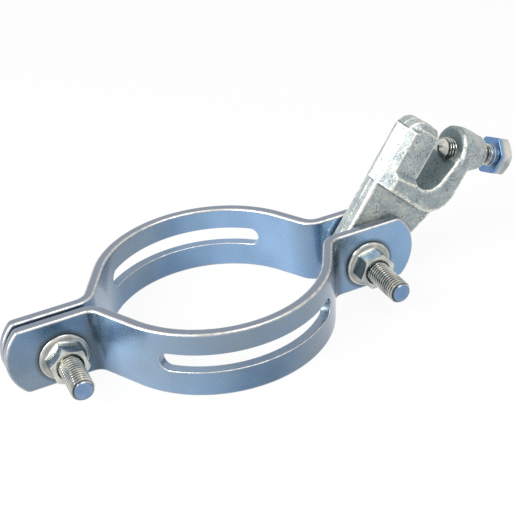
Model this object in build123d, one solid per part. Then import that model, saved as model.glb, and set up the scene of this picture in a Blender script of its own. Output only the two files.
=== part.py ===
from build123d import *
from build123d.topology.shape_core import SkipClean
import math
import os

# Two-piece bolted pipe clamp with a cast beam clamp swivelling on its right-hand bolt.
# Millimetres. +Z is the pipe's axis, the origin is the centre of the bore at mid height,
# the bolts lie along Y with their heads at the rear (+Y) and their nuts at the front (-Y).

# Strip that both half bands are bent from: an arc, a straight flank at each end, a bend and an ear
STRIP_HEIGHT = 30.0
STRIP_THICKNESS = 4.5
BORE_RADIUS = 47.0
FLANK_ANGLE = 28.7
BEND_RADIUS = 5.5
EAR_BEYOND_BOLT = 23.4
EAR_END_SAGITTA = 6.5
EAR_CORNER_RADIUS = 2.4
LEFT_EAR_GAP = 2.3
STRIP_EDGE_RADIUS = 1.1

# Long slot in the middle of each band
SLOT_HEIGHT = 8.2
SLOT_RISE = 0.9
SLOT_HALF_ANGLE = 48.5

# Shape of every hexagon: the flat top's share of the width across flats, and its chamfer
HEX_TOP_SHARE = 0.94
HEX_CHAMFER_ANGLE = 30.0

# Clamping bolts and flange nuts
BOLT_DIAMETER = 10.0
BOLT_HEAD_ACROSS_FLATS = 16.0
BOLT_HEAD_HEIGHT = 6.4
BOLT_END_CHAMFER = 1.2
BOLT_DROP = 2.7
LEFT_BOLT_LENGTH = 38.0
RIGHT_BOLT_LENGTH = 50.0
NUT_ACROSS_FLATS = 15.0
NUT_HEIGHT = 9.6
NUT_FLANGE_DIAMETER = 21.4
NUT_FLANGE_RIM = 1.2
NUT_FLANGE_RISE = 1.2
LEFT_NUT_TURN = -17.0
RIGHT_NUT_TURN = 8.0

# Beam clamp casting: a lug on the right-hand bolt and a thick C-shaped head.
# Distances along and across it are measured from the bolt, in the lug's own direction.
LUG_ANGLE = 54.0
LUG_THICKNESS = 9.2
LUG_SIDE_CLEARANCE = 1.4
LUG_RADIUS = 12.1
LUG_LEFT_REACH = 13.8
LUG_FLARE = 19.0
LUG_OVERLAP = 8.0
LUG_EDGE_RADIUS = 1.2
HEAD_THICKNESS = 20.0
HEAD_START = 29.0
HEAD_SLANT = 5.6
HEAD_CORNER_RADIUS = 12.5
HEAD_EDGE_RADIUS = 1.2
ARM_OUTER = 25.4
ARM_RISE = 1.2
JAW_THICKNESS = 16.0
JAW_FACE = 2.9
JAW_TOP = 66.9
JAW_TOP_SLANT = 0.9
JAW_ROOT_REACH = 15.3
JAW_SHOULDER = 50.0
JAW_TIP_REACH = 11.2
JAW_TIP_RADIUS = 7.0
JAW_TIP_BEVEL = 3.0
JAW_STEP = 42.3
JAW_EDGE_RADIUS = 1.2
RIDGE_ANGLE = 30.0
RIDGE_WIDTH = 1.6
JAW_FACET_ANGLE = 25.4
JAW_FACET_EDGE = 6.7
HEAD_FACET_ANGLE = 48.0
HEAD_FACET_EDGE = 8.3
THROAT_BOTTOM = 40.8
THROAT_SLANT = 1.7
THROAT_WIDTH = 10.5
THROAT_LEAN = 11.8
THROAT_CORNER_RADIUS = 2.5
THROAT_ROOT_RADIUS = 8.0

# Boss and set screw
SCREW_CROSSING = 60.3
SCREW_TILT = 13.1
BOSS_START = 17.4
BOSS_RADIUS = 10.8
BOSS_STRAIGHT = 4.7
BOSS_LENGTH = 16.5
BOSS_END_RADIUS = 7.8
BOSS_EDGE_RADIUS = 1.5
BOSS_BLEND_RADIUS = 6.0
SCREW_DIAMETER = 10.0
SCREW_LENGTH = 30.5
SCREW_POINT_RADIUS = 1.2
SCREW_HEAD_ACROSS_FLATS = 16.5
SCREW_HEAD_HEIGHT = 7.0
SCREW_HEAD_STANDOFF = 7.0
SCREW_TURN = -16.0

# Clearances of the threads, the pivot and the bands' bolt holes, radial, and the flange nut's from the bend
NUT_CLEARANCE = 0.05
PIVOT_CLEARANCE = 0.08
SCREW_CLEARANCE = 0.06
BAND_HOLE_CLEARANCE = 0.5
BEND_CLEARANCE = 0.12


def corner_reach(gap):
    """Distance from the middle at which a flank's outer face would meet its ear's outer face."""
    lean = math.radians(FLANK_ANGLE)
    across = gap / 2 + STRIP_THICKNESS
    return (OUTER_RADIUS - across * math.sin(lean)) / math.cos(lean)


def bend_centre(gap):
    """Centre of the bend between a flank and its ear, for the half on the +Y side."""
    turn = math.radians(90 - FLANK_ANGLE)
    along = corner_reach(gap) + BEND_RADIUS * math.tan(turn / 2)
    return along, gap / 2 + STRIP_THICKNESS + BEND_RADIUS


# Values worked out from the sizes above
BOLT_RADIUS = BOLT_DIAMETER / 2
OUTER_RADIUS = BORE_RADIUS + STRIP_THICKNESS
RIGHT_EAR_GAP = LUG_THICKNESS + 2 * LUG_SIDE_CLEARANCE
LEFT_SEAT = LEFT_EAR_GAP / 2 + STRIP_THICKNESS
RIGHT_SEAT = RIGHT_EAR_GAP / 2 + STRIP_THICKNESS
BOLT_SPREAD = bend_centre(LEFT_EAR_GAP)[0] + NUT_FLANGE_DIAMETER / 2 + BEND_CLEARANCE
EAR_REACH = BOLT_SPREAD + EAR_BEYOND_BOLT
BIG = 4 * EAR_REACH


def half_outline(gap, side):
    """One end of the rear band's section, from the middle of the arc to the ear's end."""
    along, across = bend_centre(gap)
    ear_inner = gap / 2
    ear_outer = ear_inner + STRIP_THICKNESS
    arc_middle = math.radians((90 + FLANK_ANGLE) / 2)
    arc_end = math.radians(FLANK_ANGLE)

    def ring(radius, angle):
        return side * radius * math.cos(angle), radius * math.sin(angle)

    def bend(radius, angle):
        return side * (along - radius * math.cos(angle)), across - radius * math.sin(angle)

    def surface(radius, bend_radius, ear):
        return [
            ThreePointArc((0, radius), ring(radius, arc_middle), ring(radius, arc_end)),
            Line(ring(radius, arc_end), bend(bend_radius, arc_end)),
            ThreePointArc(bend(bend_radius, arc_end), bend(bend_radius, arc_middle), (side * along, ear)),
            Line((side * along, ear), (side * EAR_REACH, ear)),
        ]

    closing = [
        Line((0, BORE_RADIUS), (0, OUTER_RADIUS)),
        Line((side * EAR_REACH, ear_inner), (side * EAR_REACH, ear_outer)),
    ]
    outer = surface(OUTER_RADIUS, BEND_RADIUS, ear_outer)
    inner = surface(BORE_RADIUS, BEND_RADIUS + STRIP_THICKNESS, ear_inner)
    return make_face(outer + inner + closing)


def end_trim():
    """Side view of the band seen along Y: the ear ends are arcs with small corners."""
    half = STRIP_HEIGHT / 2
    shoulder = EAR_REACH - EAR_END_SAGITTA
    edges = [
        Line((-shoulder, half), (shoulder, half)),
        ThreePointArc((shoulder, half), (EAR_REACH, 0), (shoulder, -half)),
        Line((shoulder, -half), (-shoulder, -half)),
        ThreePointArc((-shoulder, -half), (-EAR_REACH, 0), (-shoulder, half)),
    ]
    face = make_face(edges)
    face = fillet(face.vertices(), EAR_CORNER_RADIUS)
    return extrude(Plane.XZ * face, BIG / 2, both=True)


def slot_cutter():
    """Cutter for the long slot: a ring sector with round ends, square to the strip."""
    end_radius = SLOT_HEIGHT / 2
    middle_radius = BORE_RADIUS + STRIP_THICKNESS / 2
    half_angle = SLOT_HALF_ANGLE - math.degrees(end_radius / middle_radius)
    reach = OUTER_RADIUS + STRIP_THICKNESS
    inside = BORE_RADIUS - STRIP_THICKNESS
    height = Plane.XY.offset(SLOT_RISE - end_radius)
    wall = Circle(reach) - Circle(inside)
    left = math.radians(90 + half_angle)
    right = math.radians(90 - half_angle)
    far = 2 * reach
    wedge = make_face(
        Polyline(
            (0, 0),
            (far * math.cos(right), far * math.sin(right)),
            (0, 2 * far),
            (far * math.cos(left), far * math.sin(left)),
            close=True,
        )
    )
    cutter = extrude(height * (wall & wedge), SLOT_HEIGHT)
    for angle in (left, right):
        outward = Vector(math.cos(angle), math.sin(angle), 0)
        start = Plane(origin=outward * inside + Vector(0, 0, SLOT_RISE), z_dir=outward)
        cutter += extrude(start * Circle(end_radius), reach - inside)
    return cutter


def bolt_axis(sign):
    """Plane on a bolt's axis at mid thickness, facing the front."""
    return Plane(origin=(sign * BOLT_SPREAD, 0, -BOLT_DROP), x_dir=(1, 0, 0), z_dir=(0, -1, 0))


def make_rear_band():
    """The half on the +Y side, with its slot and its two bolt holes.

    Its walls stay separate faces above, beside and below the slot, so that each rail can be picked.
    """
    section = half_outline(LEFT_EAR_GAP, -1) + half_outline(RIGHT_EAR_GAP, 1)
    band = extrude(section, STRIP_HEIGHT / 2, both=True) & end_trim()
    edges = band.edges().filter_by(lambda e: abs(abs(e.center().Z) - STRIP_HEIGHT / 2) < 1e-6)
    band = fillet(edges, STRIP_EDGE_RADIUS)
    band -= slot_cutter()
    level = Plane.XY.offset(SLOT_RISE)
    middle = extrude(level * Rectangle(BIG, BIG), SLOT_HEIGHT / 2, both=True)
    above = extrude(level.offset(SLOT_HEIGHT / 2) * Rectangle(BIG, BIG), STRIP_HEIGHT)
    below = extrude(level.offset(-SLOT_HEIGHT / 2) * Rectangle(BIG, BIG), -STRIP_HEIGHT)
    rails = [band & above, band & middle, band & below]
    with SkipClean():
        band = rails[0] + rails[1] + rails[2]
        for sign in (-1, 1):
            band -= extrude(bolt_axis(sign) * Circle(BOLT_RADIUS + BAND_HOLE_CLEARANCE), BIG, both=True)
    return band


def make_front_band(rear_band):
    """The half on the -Y side, the mirror image of the rear one."""
    return mirror(rear_band, about=Plane.XZ)


def hex_prism(across_flats, height):
    """Hexagon standing on the XY plane, its corners turned down at the top by a shallow cone."""
    corner = across_flats / math.sqrt(3)
    top_radius = HEX_TOP_SHARE * across_flats / 2
    drop = (corner - top_radius) * math.tan(math.radians(HEX_CHAMFER_ANGLE))
    shoulder = Plane.XY.offset(height - drop)
    turned = extrude(Circle(corner), height - drop)
    turned += loft([shoulder * Circle(corner), Plane.XY.offset(height) * Circle(top_radius)])
    return extrude(RegularPolygon(corner, 6), height) & turned


def make_bolt(sign, seat, length):
    """Hexagon-head bolt: its head bears on the rear ear, its end points to the front."""
    shank = extrude(Circle(BOLT_RADIUS), length)
    shank = chamfer(shank.faces().sort_by(Axis.Z)[-1].edges(), BOLT_END_CHAMFER)
    head = Rot(180, 0, 0) * hex_prism(BOLT_HEAD_ACROSS_FLATS, BOLT_HEAD_HEIGHT)
    bolt = shank + head
    return bolt_axis(sign).offset(-seat) * bolt


def make_nut(sign, seat, turn):
    """Flange nut, bearing on the front ear, turned on its axis and bored to run on its bolt."""
    flange_radius = NUT_FLANGE_DIAMETER / 2
    rise = NUT_FLANGE_RIM + NUT_FLANGE_RISE
    neck = NUT_ACROSS_FLATS / 2
    flange = extrude(Circle(flange_radius), NUT_FLANGE_RIM)
    flange = fillet(flange.faces().sort_by(Axis.Z)[-1].edges(), NUT_FLANGE_RIM / 2)
    cone = loft([
        Plane.XY.offset(NUT_FLANGE_RIM) * Circle(flange_radius - NUT_FLANGE_RIM),
        Plane.XY.offset(rise) * Circle(neck),
    ])
    nut = flange + cone + hex_prism(NUT_ACROSS_FLATS, NUT_HEIGHT)
    nut = Rot(0, 0, turn) * nut
    nut -= extrude(Circle(BOLT_RADIUS + NUT_CLEARANCE), NUT_HEIGHT)
    return bolt_axis(sign).offset(seat) * nut


def clamp_plane():
    """Plane of the beam clamp: local X is across the lug, local Y runs up along it, Z is forward."""
    angle = math.radians(LUG_ANGLE)
    across = (math.sin(angle), 0, -math.cos(angle))
    return Plane(origin=(BOLT_SPREAD, 0, -BOLT_DROP), x_dir=across, z_dir=(0, -1, 0))


def screw_plane():
    """Plane across the set screw in the beam clamp's frame, at the boss's inner end, facing outwards."""
    tilt = math.radians(SCREW_TILT)
    outward = (math.cos(tilt), math.sin(tilt), 0)
    return Plane(origin=(BOSS_START, SCREW_CROSSING, 0), x_dir=(0, 0, 1), z_dir=outward)


def make_lug():
    """Flat lug: round foot about the bolt, both sides flared, the left one only as far as its reach."""
    flare = math.radians(LUG_FLARE)
    top = HEAD_START + LUG_OVERLAP
    foot_x, foot_y = LUG_RADIUS * math.cos(flare), -LUG_RADIUS * math.sin(flare)
    flared_x = foot_x + (top - foot_y) * math.tan(flare)
    left_y = foot_y + (LUG_LEFT_REACH - foot_x) / math.tan(flare)
    sides = make_face(
        Polyline(
            (foot_x, foot_y),
            (flared_x, top),
            (-LUG_LEFT_REACH, top),
            (-LUG_LEFT_REACH, left_y),
            (-foot_x, foot_y),
            close=True,
        )
    )
    outline = sides + Circle(LUG_RADIUS)
    lug = extrude(outline, LUG_THICKNESS / 2, both=True)
    rims = lug.faces().filter_by(Axis.Z).edges()
    return fillet(rims.filter_by(lambda e: e.center().Y < top - 1), LUG_EDGE_RADIUS)


def head_side_cutter(foot, angle, sign):
    """Everything beyond a slanting plane on the head's outer side.

    The plane passes through the line at foot (across, half thickness) and leans back from the front
    by the angle.
    """
    side = math.radians(angle)
    normal = (-math.cos(side), 0, sign * math.sin(side))
    plane = Plane(origin=(-foot[0], HEAD_START, sign * foot[1]), z_dir=normal)
    return extrude(plane * Rectangle(BIG, BIG), BIG)


def make_head_block():
    """Thick C-shaped part of the head, up to the level of the screw, without its throat."""
    arm_top = SCREW_CROSSING + ARM_RISE
    outline = make_face(
        Polyline(
            (-JAW_ROOT_REACH, HEAD_START + HEAD_SLANT),
            (ARM_OUTER, HEAD_START),
            (ARM_OUTER, arm_top),
            (-JAW_ROOT_REACH, arm_top),
            close=True,
        )
    )
    corner = outline.vertices().sort_by(lambda v: v.Y)[0]
    outline = fillet(corner, HEAD_CORNER_RADIUS) - throat_outline()
    block = extrude(outline, HEAD_THICKNESS / 2, both=True)
    rims = block.faces().filter_by(Axis.Z).edges()
    inside = -JAW_ROOT_REACH + HEAD_EDGE_RADIUS
    rims = rims.filter_by(lambda e: e.center().X > inside and e.center().Y < arm_top - HEAD_EDGE_RADIUS)
    block = fillet(rims, HEAD_EDGE_RADIUS)
    ramp = HEAD_THICKNESS / 2 - JAW_THICKNESS / 2
    side = make_face(
        Polyline(
            (JAW_STEP - ramp, HEAD_THICKNESS / 2),
            (JAW_STEP, JAW_THICKNESS / 2),
            (BIG, JAW_THICKNESS / 2),
            (BIG, HEAD_THICKNESS),
            (JAW_STEP - ramp, HEAD_THICKNESS),
            close=True,
        )
    )
    step = Plane(origin=(JAW_FACE + THROAT_WIDTH / 2, 0, 0), x_dir=(0, 1, 0), z_dir=(-1, 0, 0)) * side
    cutter = extrude(step, BIG)
    block = block - cutter - mirror(cutter, about=Plane.XY)
    for sign in (-1, 1):
        foot = (HEAD_FACET_EDGE, HEAD_THICKNESS / 2)
        block -= head_side_cutter(foot, 90 - HEAD_FACET_ANGLE, sign)
    return block


def make_jaw():
    """Tall jaw on the left of the throat, bevelled at its tip and ridged on its outer side."""
    outline = make_face(
        Polyline(
            (-JAW_ROOT_REACH, HEAD_START + HEAD_SLANT),
            (JAW_FACE, HEAD_START + HEAD_SLANT),
            (JAW_FACE, JAW_TOP - JAW_TOP_SLANT),
            (-JAW_TIP_REACH, JAW_TOP),
            (-JAW_ROOT_REACH, JAW_SHOULDER),
            close=True,
        )
    )
    tip = outline.vertices().sort_by(lambda v: v.Y)[-1]
    outline = fillet(tip, JAW_TIP_RADIUS)
    jaw = extrude(outline, JAW_THICKNESS / 2, both=True)
    rims = jaw.faces().filter_by(Axis.Z).edges()
    jaw = chamfer(rims.filter_by(lambda e: e.center().Y > JAW_TOP - JAW_TIP_RADIUS), JAW_TIP_BEVEL)
    bite = jaw.faces().sort_by(Axis.X)[-1].edges()
    jaw = fillet(bite.filter_by(lambda e: e.center().Y > JAW_STEP), JAW_EDGE_RADIUS)
    for sign in (-1, 1):
        foot = (JAW_FACET_EDGE, JAW_THICKNESS / 2)
        jaw -= head_side_cutter(foot, 90 - JAW_FACET_ANGLE, sign)
    return jaw


def throat_outline():
    """Outline of the open-topped throat between the jaw and the arm."""
    top = JAW_TOP + BIG
    lean = math.tan(math.radians(THROAT_LEAN))
    right = JAW_FACE + THROAT_WIDTH
    outline = make_face(
        Polyline(
            (JAW_FACE, THROAT_BOTTOM),
            (right, THROAT_BOTTOM - THROAT_SLANT),
            (right + (top - THROAT_BOTTOM) * lean, top),
            (JAW_FACE, top),
            close=True,
        )
    )
    corners = outline.vertices().sort_by(lambda v: v.Y)
    outline = fillet(corners[0], THROAT_ROOT_RADIUS)
    corners = outline.vertices().sort_by(lambda v: math.dist((v.X, v.Y), (JAW_FACE, THROAT_BOTTOM)))
    return fillet(corners[0], THROAT_CORNER_RADIUS)


def make_boss():
    """Round boss about the set screw, tapering outwards."""
    cone_end = BOSS_LENGTH - BOSS_EDGE_RADIUS
    profile = make_face(
        Polyline(
            (0, 0),
            (BOSS_RADIUS, 0),
            (BOSS_RADIUS, BOSS_STRAIGHT),
            (BOSS_END_RADIUS, cone_end),
            (BOSS_END_RADIUS, BOSS_LENGTH),
            (0, BOSS_LENGTH),
            close=True,
        )
    )
    rims = [v for v in profile.vertices() if v.X > 1 and v.Y in (0, BOSS_LENGTH)]
    profile = fillet(rims, BOSS_EDGE_RADIUS)
    profile = fillet([v for v in profile.vertices() if abs(v.Y - BOSS_STRAIGHT) < 1e-6], BOSS_BLEND_RADIUS)
    boss = revolve(Plane.XZ * profile, Axis.Z)
    return screw_plane() * boss


def make_beam_clamp():
    """The one-piece casting, built in its own plane and then set on the bolt."""
    head = make_head_block() + make_jaw()
    for sign in (-1, 1):
        foot = (JAW_ROOT_REACH, RIDGE_WIDTH / 2)
        head -= head_side_cutter(foot, RIDGE_ANGLE, sign)
    casting = make_lug() + head + make_boss()
    casting -= screw_plane().offset(-THROAT_WIDTH / 2) * extrude(Circle(SCREW_DIAMETER / 2 + SCREW_CLEARANCE), BIG)
    casting -= extrude(Circle(BOLT_RADIUS + PIVOT_CLEARANCE), BIG, both=True)
    return clamp_plane() * casting


def make_set_screw():
    """Cone-point set screw with a hexagon head, run most of the way into its boss."""
    radius = SCREW_DIAMETER / 2
    cone_length = radius - SCREW_POINT_RADIUS
    cone_base = Plane.XY.offset(cone_length)
    point = loft([Circle(SCREW_POINT_RADIUS), cone_base * Circle(radius)])
    shank = extrude(cone_base * Circle(radius), SCREW_LENGTH - cone_length)
    head = Pos(0, 0, SCREW_LENGTH) * hex_prism(SCREW_HEAD_ACROSS_FLATS, SCREW_HEAD_HEIGHT)
    screw = Pos(0, 0, BOSS_LENGTH + SCREW_HEAD_STANDOFF - SCREW_LENGTH) * (point + shank + head)
    return clamp_plane() * screw_plane() * Rot(0, 0, SCREW_TURN) * screw


def main():
    os.makedirs("parts", exist_ok=True)
    rear_band = make_rear_band()
    pieces = {
        "rear_half_band": rear_band,
        "front_half_band": make_front_band(rear_band),
        "left_bolt": make_bolt(-1, LEFT_SEAT, LEFT_BOLT_LENGTH),
        "right_bolt": make_bolt(1, RIGHT_SEAT, RIGHT_BOLT_LENGTH),
        "left_flange_nut": make_nut(-1, LEFT_SEAT, LEFT_NUT_TURN),
        "right_flange_nut": make_nut(1, RIGHT_SEAT, RIGHT_NUT_TURN),
        "beam_clamp": make_beam_clamp(),
        "set_screw": make_set_screw(),
    }
    for name, piece in pieces.items():
        export_step(piece, f"parts/{name}.step")


main()
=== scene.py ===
"""Looks of the two-piece pipe clamp with its swivelling beam clamp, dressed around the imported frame.

Everything is in metres in the row's own frame: +Z is the pipe's axis, the origin is the centre of the
bore, the bolts lie along Y with their nuts at the front (-Y). Sizes of the sub-assemblies are in
millimetres, as on a drawing, and are turned into metres where a mesh is filled. The noise and relief of
the finishes and the studio are in metres.
"""

import logging
import math
from dataclasses import dataclass, field
from enum import Enum

import bmesh
import bpy
import numpy as np
from mathutils import Matrix, Vector
from mathutils.geometry import delaunay_2d_cdt

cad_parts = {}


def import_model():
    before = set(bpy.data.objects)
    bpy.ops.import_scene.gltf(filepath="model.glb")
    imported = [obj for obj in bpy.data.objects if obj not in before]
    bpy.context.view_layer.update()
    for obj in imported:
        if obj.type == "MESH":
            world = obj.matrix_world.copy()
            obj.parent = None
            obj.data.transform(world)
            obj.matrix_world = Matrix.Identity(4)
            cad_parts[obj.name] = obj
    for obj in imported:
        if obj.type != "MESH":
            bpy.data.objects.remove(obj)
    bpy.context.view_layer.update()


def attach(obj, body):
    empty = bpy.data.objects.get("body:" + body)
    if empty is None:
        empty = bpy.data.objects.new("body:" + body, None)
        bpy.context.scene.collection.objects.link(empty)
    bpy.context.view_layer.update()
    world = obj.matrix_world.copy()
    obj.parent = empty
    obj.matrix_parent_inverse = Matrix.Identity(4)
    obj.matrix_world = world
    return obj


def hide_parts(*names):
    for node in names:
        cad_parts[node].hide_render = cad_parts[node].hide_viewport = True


LOG = logging.getLogger("pipe_clamp")
MM = 0.001

# Place of the two bolts, in millimetres: out along X to either side, and down along Z
BOLT_SPREAD = 69.7
BOLT_DROP = 2.7

# Radius of the last ring round a turned surface's pole, in millimetres
POLE_RING = 0.05

Array = np.ndarray
Triple = tuple[float, float, float]
Stops = tuple[tuple[float, Triple], ...]
Socket = bpy.types.NodeSocket


class Slot(Enum):
    """Material slots of the record."""

    BAND = "band_steel"
    HARDWARE = "hardware_steel"
    CASTING = "galvanised_casting"


# Meshes


def add_object(name: str, data: bpy.types.ID) -> bpy.types.Object:
    """Make an object from its data and link it to the scene.

    Args:
        name: the object's name.
        data: its mesh, light or camera.

    Returns:
        The object.
    """
    made = bpy.data.objects.new(name, data)
    bpy.context.scene.collection.objects.link(made)
    return made


def write_marks(mesh: bpy.types.Mesh, marks: dict[str, Array]) -> None:
    """Write the marks that the finishes read.

    Args:
        mesh: the mesh.
        marks: one value for each point, by the mark's name.
    """
    for name, values in marks.items():
        layer = mesh.attributes.new(name, "FLOAT", "POINT")
        layer.data.foreach_set("value", values.astype(np.float32))


def dress(piece: bpy.types.Object, node: str, body: str, finish: bpy.types.Material) -> None:
    """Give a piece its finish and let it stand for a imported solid.

    Args:
        piece: the piece.
        node: the solid that it replaces.
        body: the body that it rides on.
        finish: its material.
    """
    piece.data.materials.clear()
    piece.data.materials.append(finish)
    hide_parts(node)
    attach(piece, body)
    LOG.info("%s: %d faces", node, len(piece.data.polygons))


@dataclass
class Shell:
    """One closed surface under construction, in millimetres: points, faces, normals and marks."""

    points: Array
    faces: list[tuple[int, ...]]
    normals: Array | None = None
    marks: dict[str, Array] = field(default_factory=dict)

    def to_object(self, name: str, sharp_deg: float | None = None) -> bpy.types.Object:
        """Put the surface into a new mesh object at the origin.

        Args:
            name: name of the object and its mesh.
            sharp_deg: edges that turn by more than this stay sharp; None leaves all smooth.

        Returns:
            The linked object.
        """
        mesh = bpy.data.meshes.new(name)
        mesh.from_pydata((self.points * MM).tolist(), [], self.faces)
        mesh.update()
        mesh.polygons.foreach_set("use_smooth", np.ones(len(mesh.polygons), bool))
        write_marks(mesh, self.marks)
        if self.normals is not None:
            mesh.normals_split_custom_set_from_vertices(self.normals.tolist())
        if sharp_deg is not None:
            mesh.set_sharp_from_angle(angle=math.radians(sharp_deg))
        return add_object(name, mesh)


def grid_faces(rows: int, columns: int, close_rows: bool = False) -> list[tuple[int, ...]]:
    """Quads of a grid whose columns run round and meet, row after row.

    Args:
        rows: number of rows of points.
        columns: points in each row.
        close_rows: whether the last row also joins the first.

    Returns:
        The quads, wound so that they face away from the axis when rows climb and columns turn left.
    """
    row = np.arange(rows if close_rows else rows - 1)[:, None]
    column = np.arange(columns)[None, :]
    after_row, after_column = (row + 1) % rows, (column + 1) % columns
    corners = (row * columns + column, row * columns + after_column,
               after_row * columns + after_column, after_row * columns + column)
    quads = np.stack(np.broadcast_arrays(*corners), axis=-1).reshape(-1, 4)
    return [tuple(quad) for quad in quads.tolist()]


def turned_shell(radius: Array, height: Array, marks: dict[str, Array], closed_loop: bool = False) -> Shell:
    """Surface turned about Z whose radius may change with the angle.

    Row i and column j give the point (r_ij cos a_j, r_ij sin a_j, h_ij) with a_j = 2 pi j / columns.
    Unless the loop is closed, the first and last row are each drawn together into one pole.

    Args:
        radius: rows by columns of radii, in millimetres.
        height: rows by columns of heights, in millimetres.
        marks: marks, rows by columns.
        closed_loop: whether the last row joins the first, as on a ring.

    Returns:
        The shell, with outward faces where heights climb along the rows.
    """
    rows, columns = radius.shape
    angle = 2 * np.pi * np.arange(columns) / columns
    points = np.stack([radius * np.cos(angle), radius * np.sin(angle), height], axis=-1).reshape(-1, 3)
    faces = grid_faces(rows, columns, closed_loop)
    flat_marks = {name: values.reshape(-1) for name, values in marks.items()}
    if not closed_loop:
        low, high = len(points), len(points) + 1
        poles = np.array([[0, 0, height[0].mean()], [0, 0, height[-1].mean()]])
        points = np.vstack([points, poles])
        last = (rows - 1) * columns
        faces += [(low, (j + 1) % columns, j) for j in range(columns)]
        faces += [(high, last + j, last + (j + 1) % columns) for j in range(columns)]
        flat_marks = {name: np.append(flat, (flat[0], flat[-1])) for name, flat in flat_marks.items()}
    return Shell(points, faces, None, flat_marks)


@dataclass
class TurnedRows:
    """Rows of a turned surface, added one after another."""

    columns: int
    rows: list[tuple[Array, Array, Array]] = field(default_factory=list)

    @property
    def angle(self) -> Array:
        """Angle of each column, in radians."""
        return 2 * np.pi * np.arange(self.columns) / self.columns

    def add(self, radius: Array | float, height: Array | float, root: Array | float = 0.0) -> None:
        """Add a row's radius, height and root mark, which paints shade; a plain number holds all the way
        round.
        """
        even = np.zeros(self.columns)
        self.rows.append((even + radius, even + height, even + root))

    def stacked(self) -> Array:
        """Radii, heights and root marks of painted shade, each rows by columns."""
        return np.array(self.rows).transpose(1, 0, 2)


def value_noise(points: Array, cell: float, seed: int) -> Array:
    """Smooth random field in three dimensions, from -1 to 1.

    Random values sit on a cubic lattice of the given cell, and a point takes the blend of the eight
    around it with weights 3t^2 - 2t^3 along each axis.

    Args:
        points: n by 3 places.
        cell: lattice spacing, in the same unit.
        seed: seed of the lattice values.

    Returns:
        The n field values.
    """
    table = np.random.default_rng(seed).uniform(-1, 1, 4096)
    scaled = points / cell
    base = np.floor(scaled).astype(np.int64)
    part = scaled - base
    weight = part * part * (3 - 2 * part)
    total = np.zeros(len(points))
    for corner in np.ndindex(2, 2, 2):
        lattice = base + corner
        key = (lattice[:, 0] * 73856093) ^ (lattice[:, 1] * 19349663) ^ (lattice[:, 2] * 83492791)
        share = np.prod(np.where(corner, weight, 1 - weight), axis=1)
        total += share * table[key & 4095]
    return total


# Finishes


@dataclass
class NodeBench:
    """Short hand for laying out the nodes of one material or world."""

    owner: bpy.types.Material | bpy.types.World

    @classmethod
    def start(cls, owner: bpy.types.Material | bpy.types.World) -> "NodeBench":
        """Switch a new material or world to nodes."""
        owner.use_nodes = True
        return cls(owner)

    @property
    def nodes(self) -> bpy.types.Nodes:
        """All nodes, by name."""
        return self.owner.node_tree.nodes

    def put(self, socket: Socket, value: object) -> None:
        """Link a socket to an input, or set its value.

        Args:
            socket: the input.
            value: a socket to link, or a plain value.
        """
        if isinstance(value, Socket):
            self.owner.node_tree.links.new(value, socket)
        else:
            socket.default_value = value

    def fill(self, node: bpy.types.Node, inputs: dict[str | int, object]) -> None:
        """Link or set several inputs of a node."""
        for name, value in inputs.items():
            self.put(node.inputs[name], value)

    def add(self, kind: str, inputs: dict[str | int, object] | None = None,
            **settings: object) -> bpy.types.Node:
        """Add one node.

        Args:
            kind: node type.
            inputs: values or sockets for its inputs.
            settings: properties of the node.

        Returns:
            The node.
        """
        node = self.nodes.new(kind)
        for name, value in settings.items():
            setattr(node, name, value)
        self.fill(node, inputs or {})
        return node

    def place(self, stretch: Triple = (1.0, 1.0, 1.0), shift: Triple = (0.0, 0.0, 0.0)) -> Socket:
        """Object coordinates, stretched and then shifted."""
        where = self.add("ShaderNodeTexCoord").outputs["Object"]
        inputs = {"Vector": where, "Location": shift, "Scale": stretch}
        return self.add("ShaderNodeMapping", inputs).outputs[0]

    def noise(self, where: Socket, scale: float, detail: float, roughness: float = 0.5) -> Socket:
        """Noise value, 0 to 1."""
        return self.add("ShaderNodeTexNoise", {"Vector": where, "Scale": scale, "Detail": detail,
                                               "Roughness": roughness}).outputs[0]

    def ramp(self, value: Socket, stops: Stops) -> Socket:
        """Colour ramp.

        Args:
            value: where on the ramp.
            stops: positions and their colours, in order.

        Returns:
            The colour.
        """
        node = self.add("ShaderNodeValToRGB", {"Fac": value})
        elements = node.color_ramp.elements
        while len(elements) < len(stops):
            elements.new(0.5)
        for element, (position, colour) in zip(elements, stops):
            element.position, element.color = position, (*colour, 1.0)
        return node.outputs["Color"]

    def span(self, value: Socket, from_low: float, from_high: float, low: float, high: float) -> Socket:
        """Clamped linear map of a value."""
        return self.add("ShaderNodeMapRange", {"Value": value, "From Min": from_low, "From Max": from_high,
                                               "To Min": low, "To Max": high}).outputs[0]

    def cover(self, base: Socket, colour: Triple, share: Socket) -> Socket:
        """Lay a colour over another.

        Args:
            base: the colour underneath.
            colour: the colour on top.
            share: how much of it covers, 0 to 1.

        Returns:
            The mixed colour.
        """
        mix = self.add("ShaderNodeMix", data_type="RGBA")
        self.fill(mix, {0: share, 6: base, 7: (*colour, 1.0)})
        return mix.outputs[2]

    def math(self, operation: str, first: Socket, second: Socket | float = 0.0) -> Socket:
        """Result of one arithmetic step."""
        return self.add("ShaderNodeMath", {0: first, 1: second}, operation=operation).outputs[0]

    def mark(self, name: str) -> Socket:
        """Value of one of the mesh's marks."""
        return self.add("ShaderNodeAttribute", attribute_name=name).outputs["Fac"]


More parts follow.
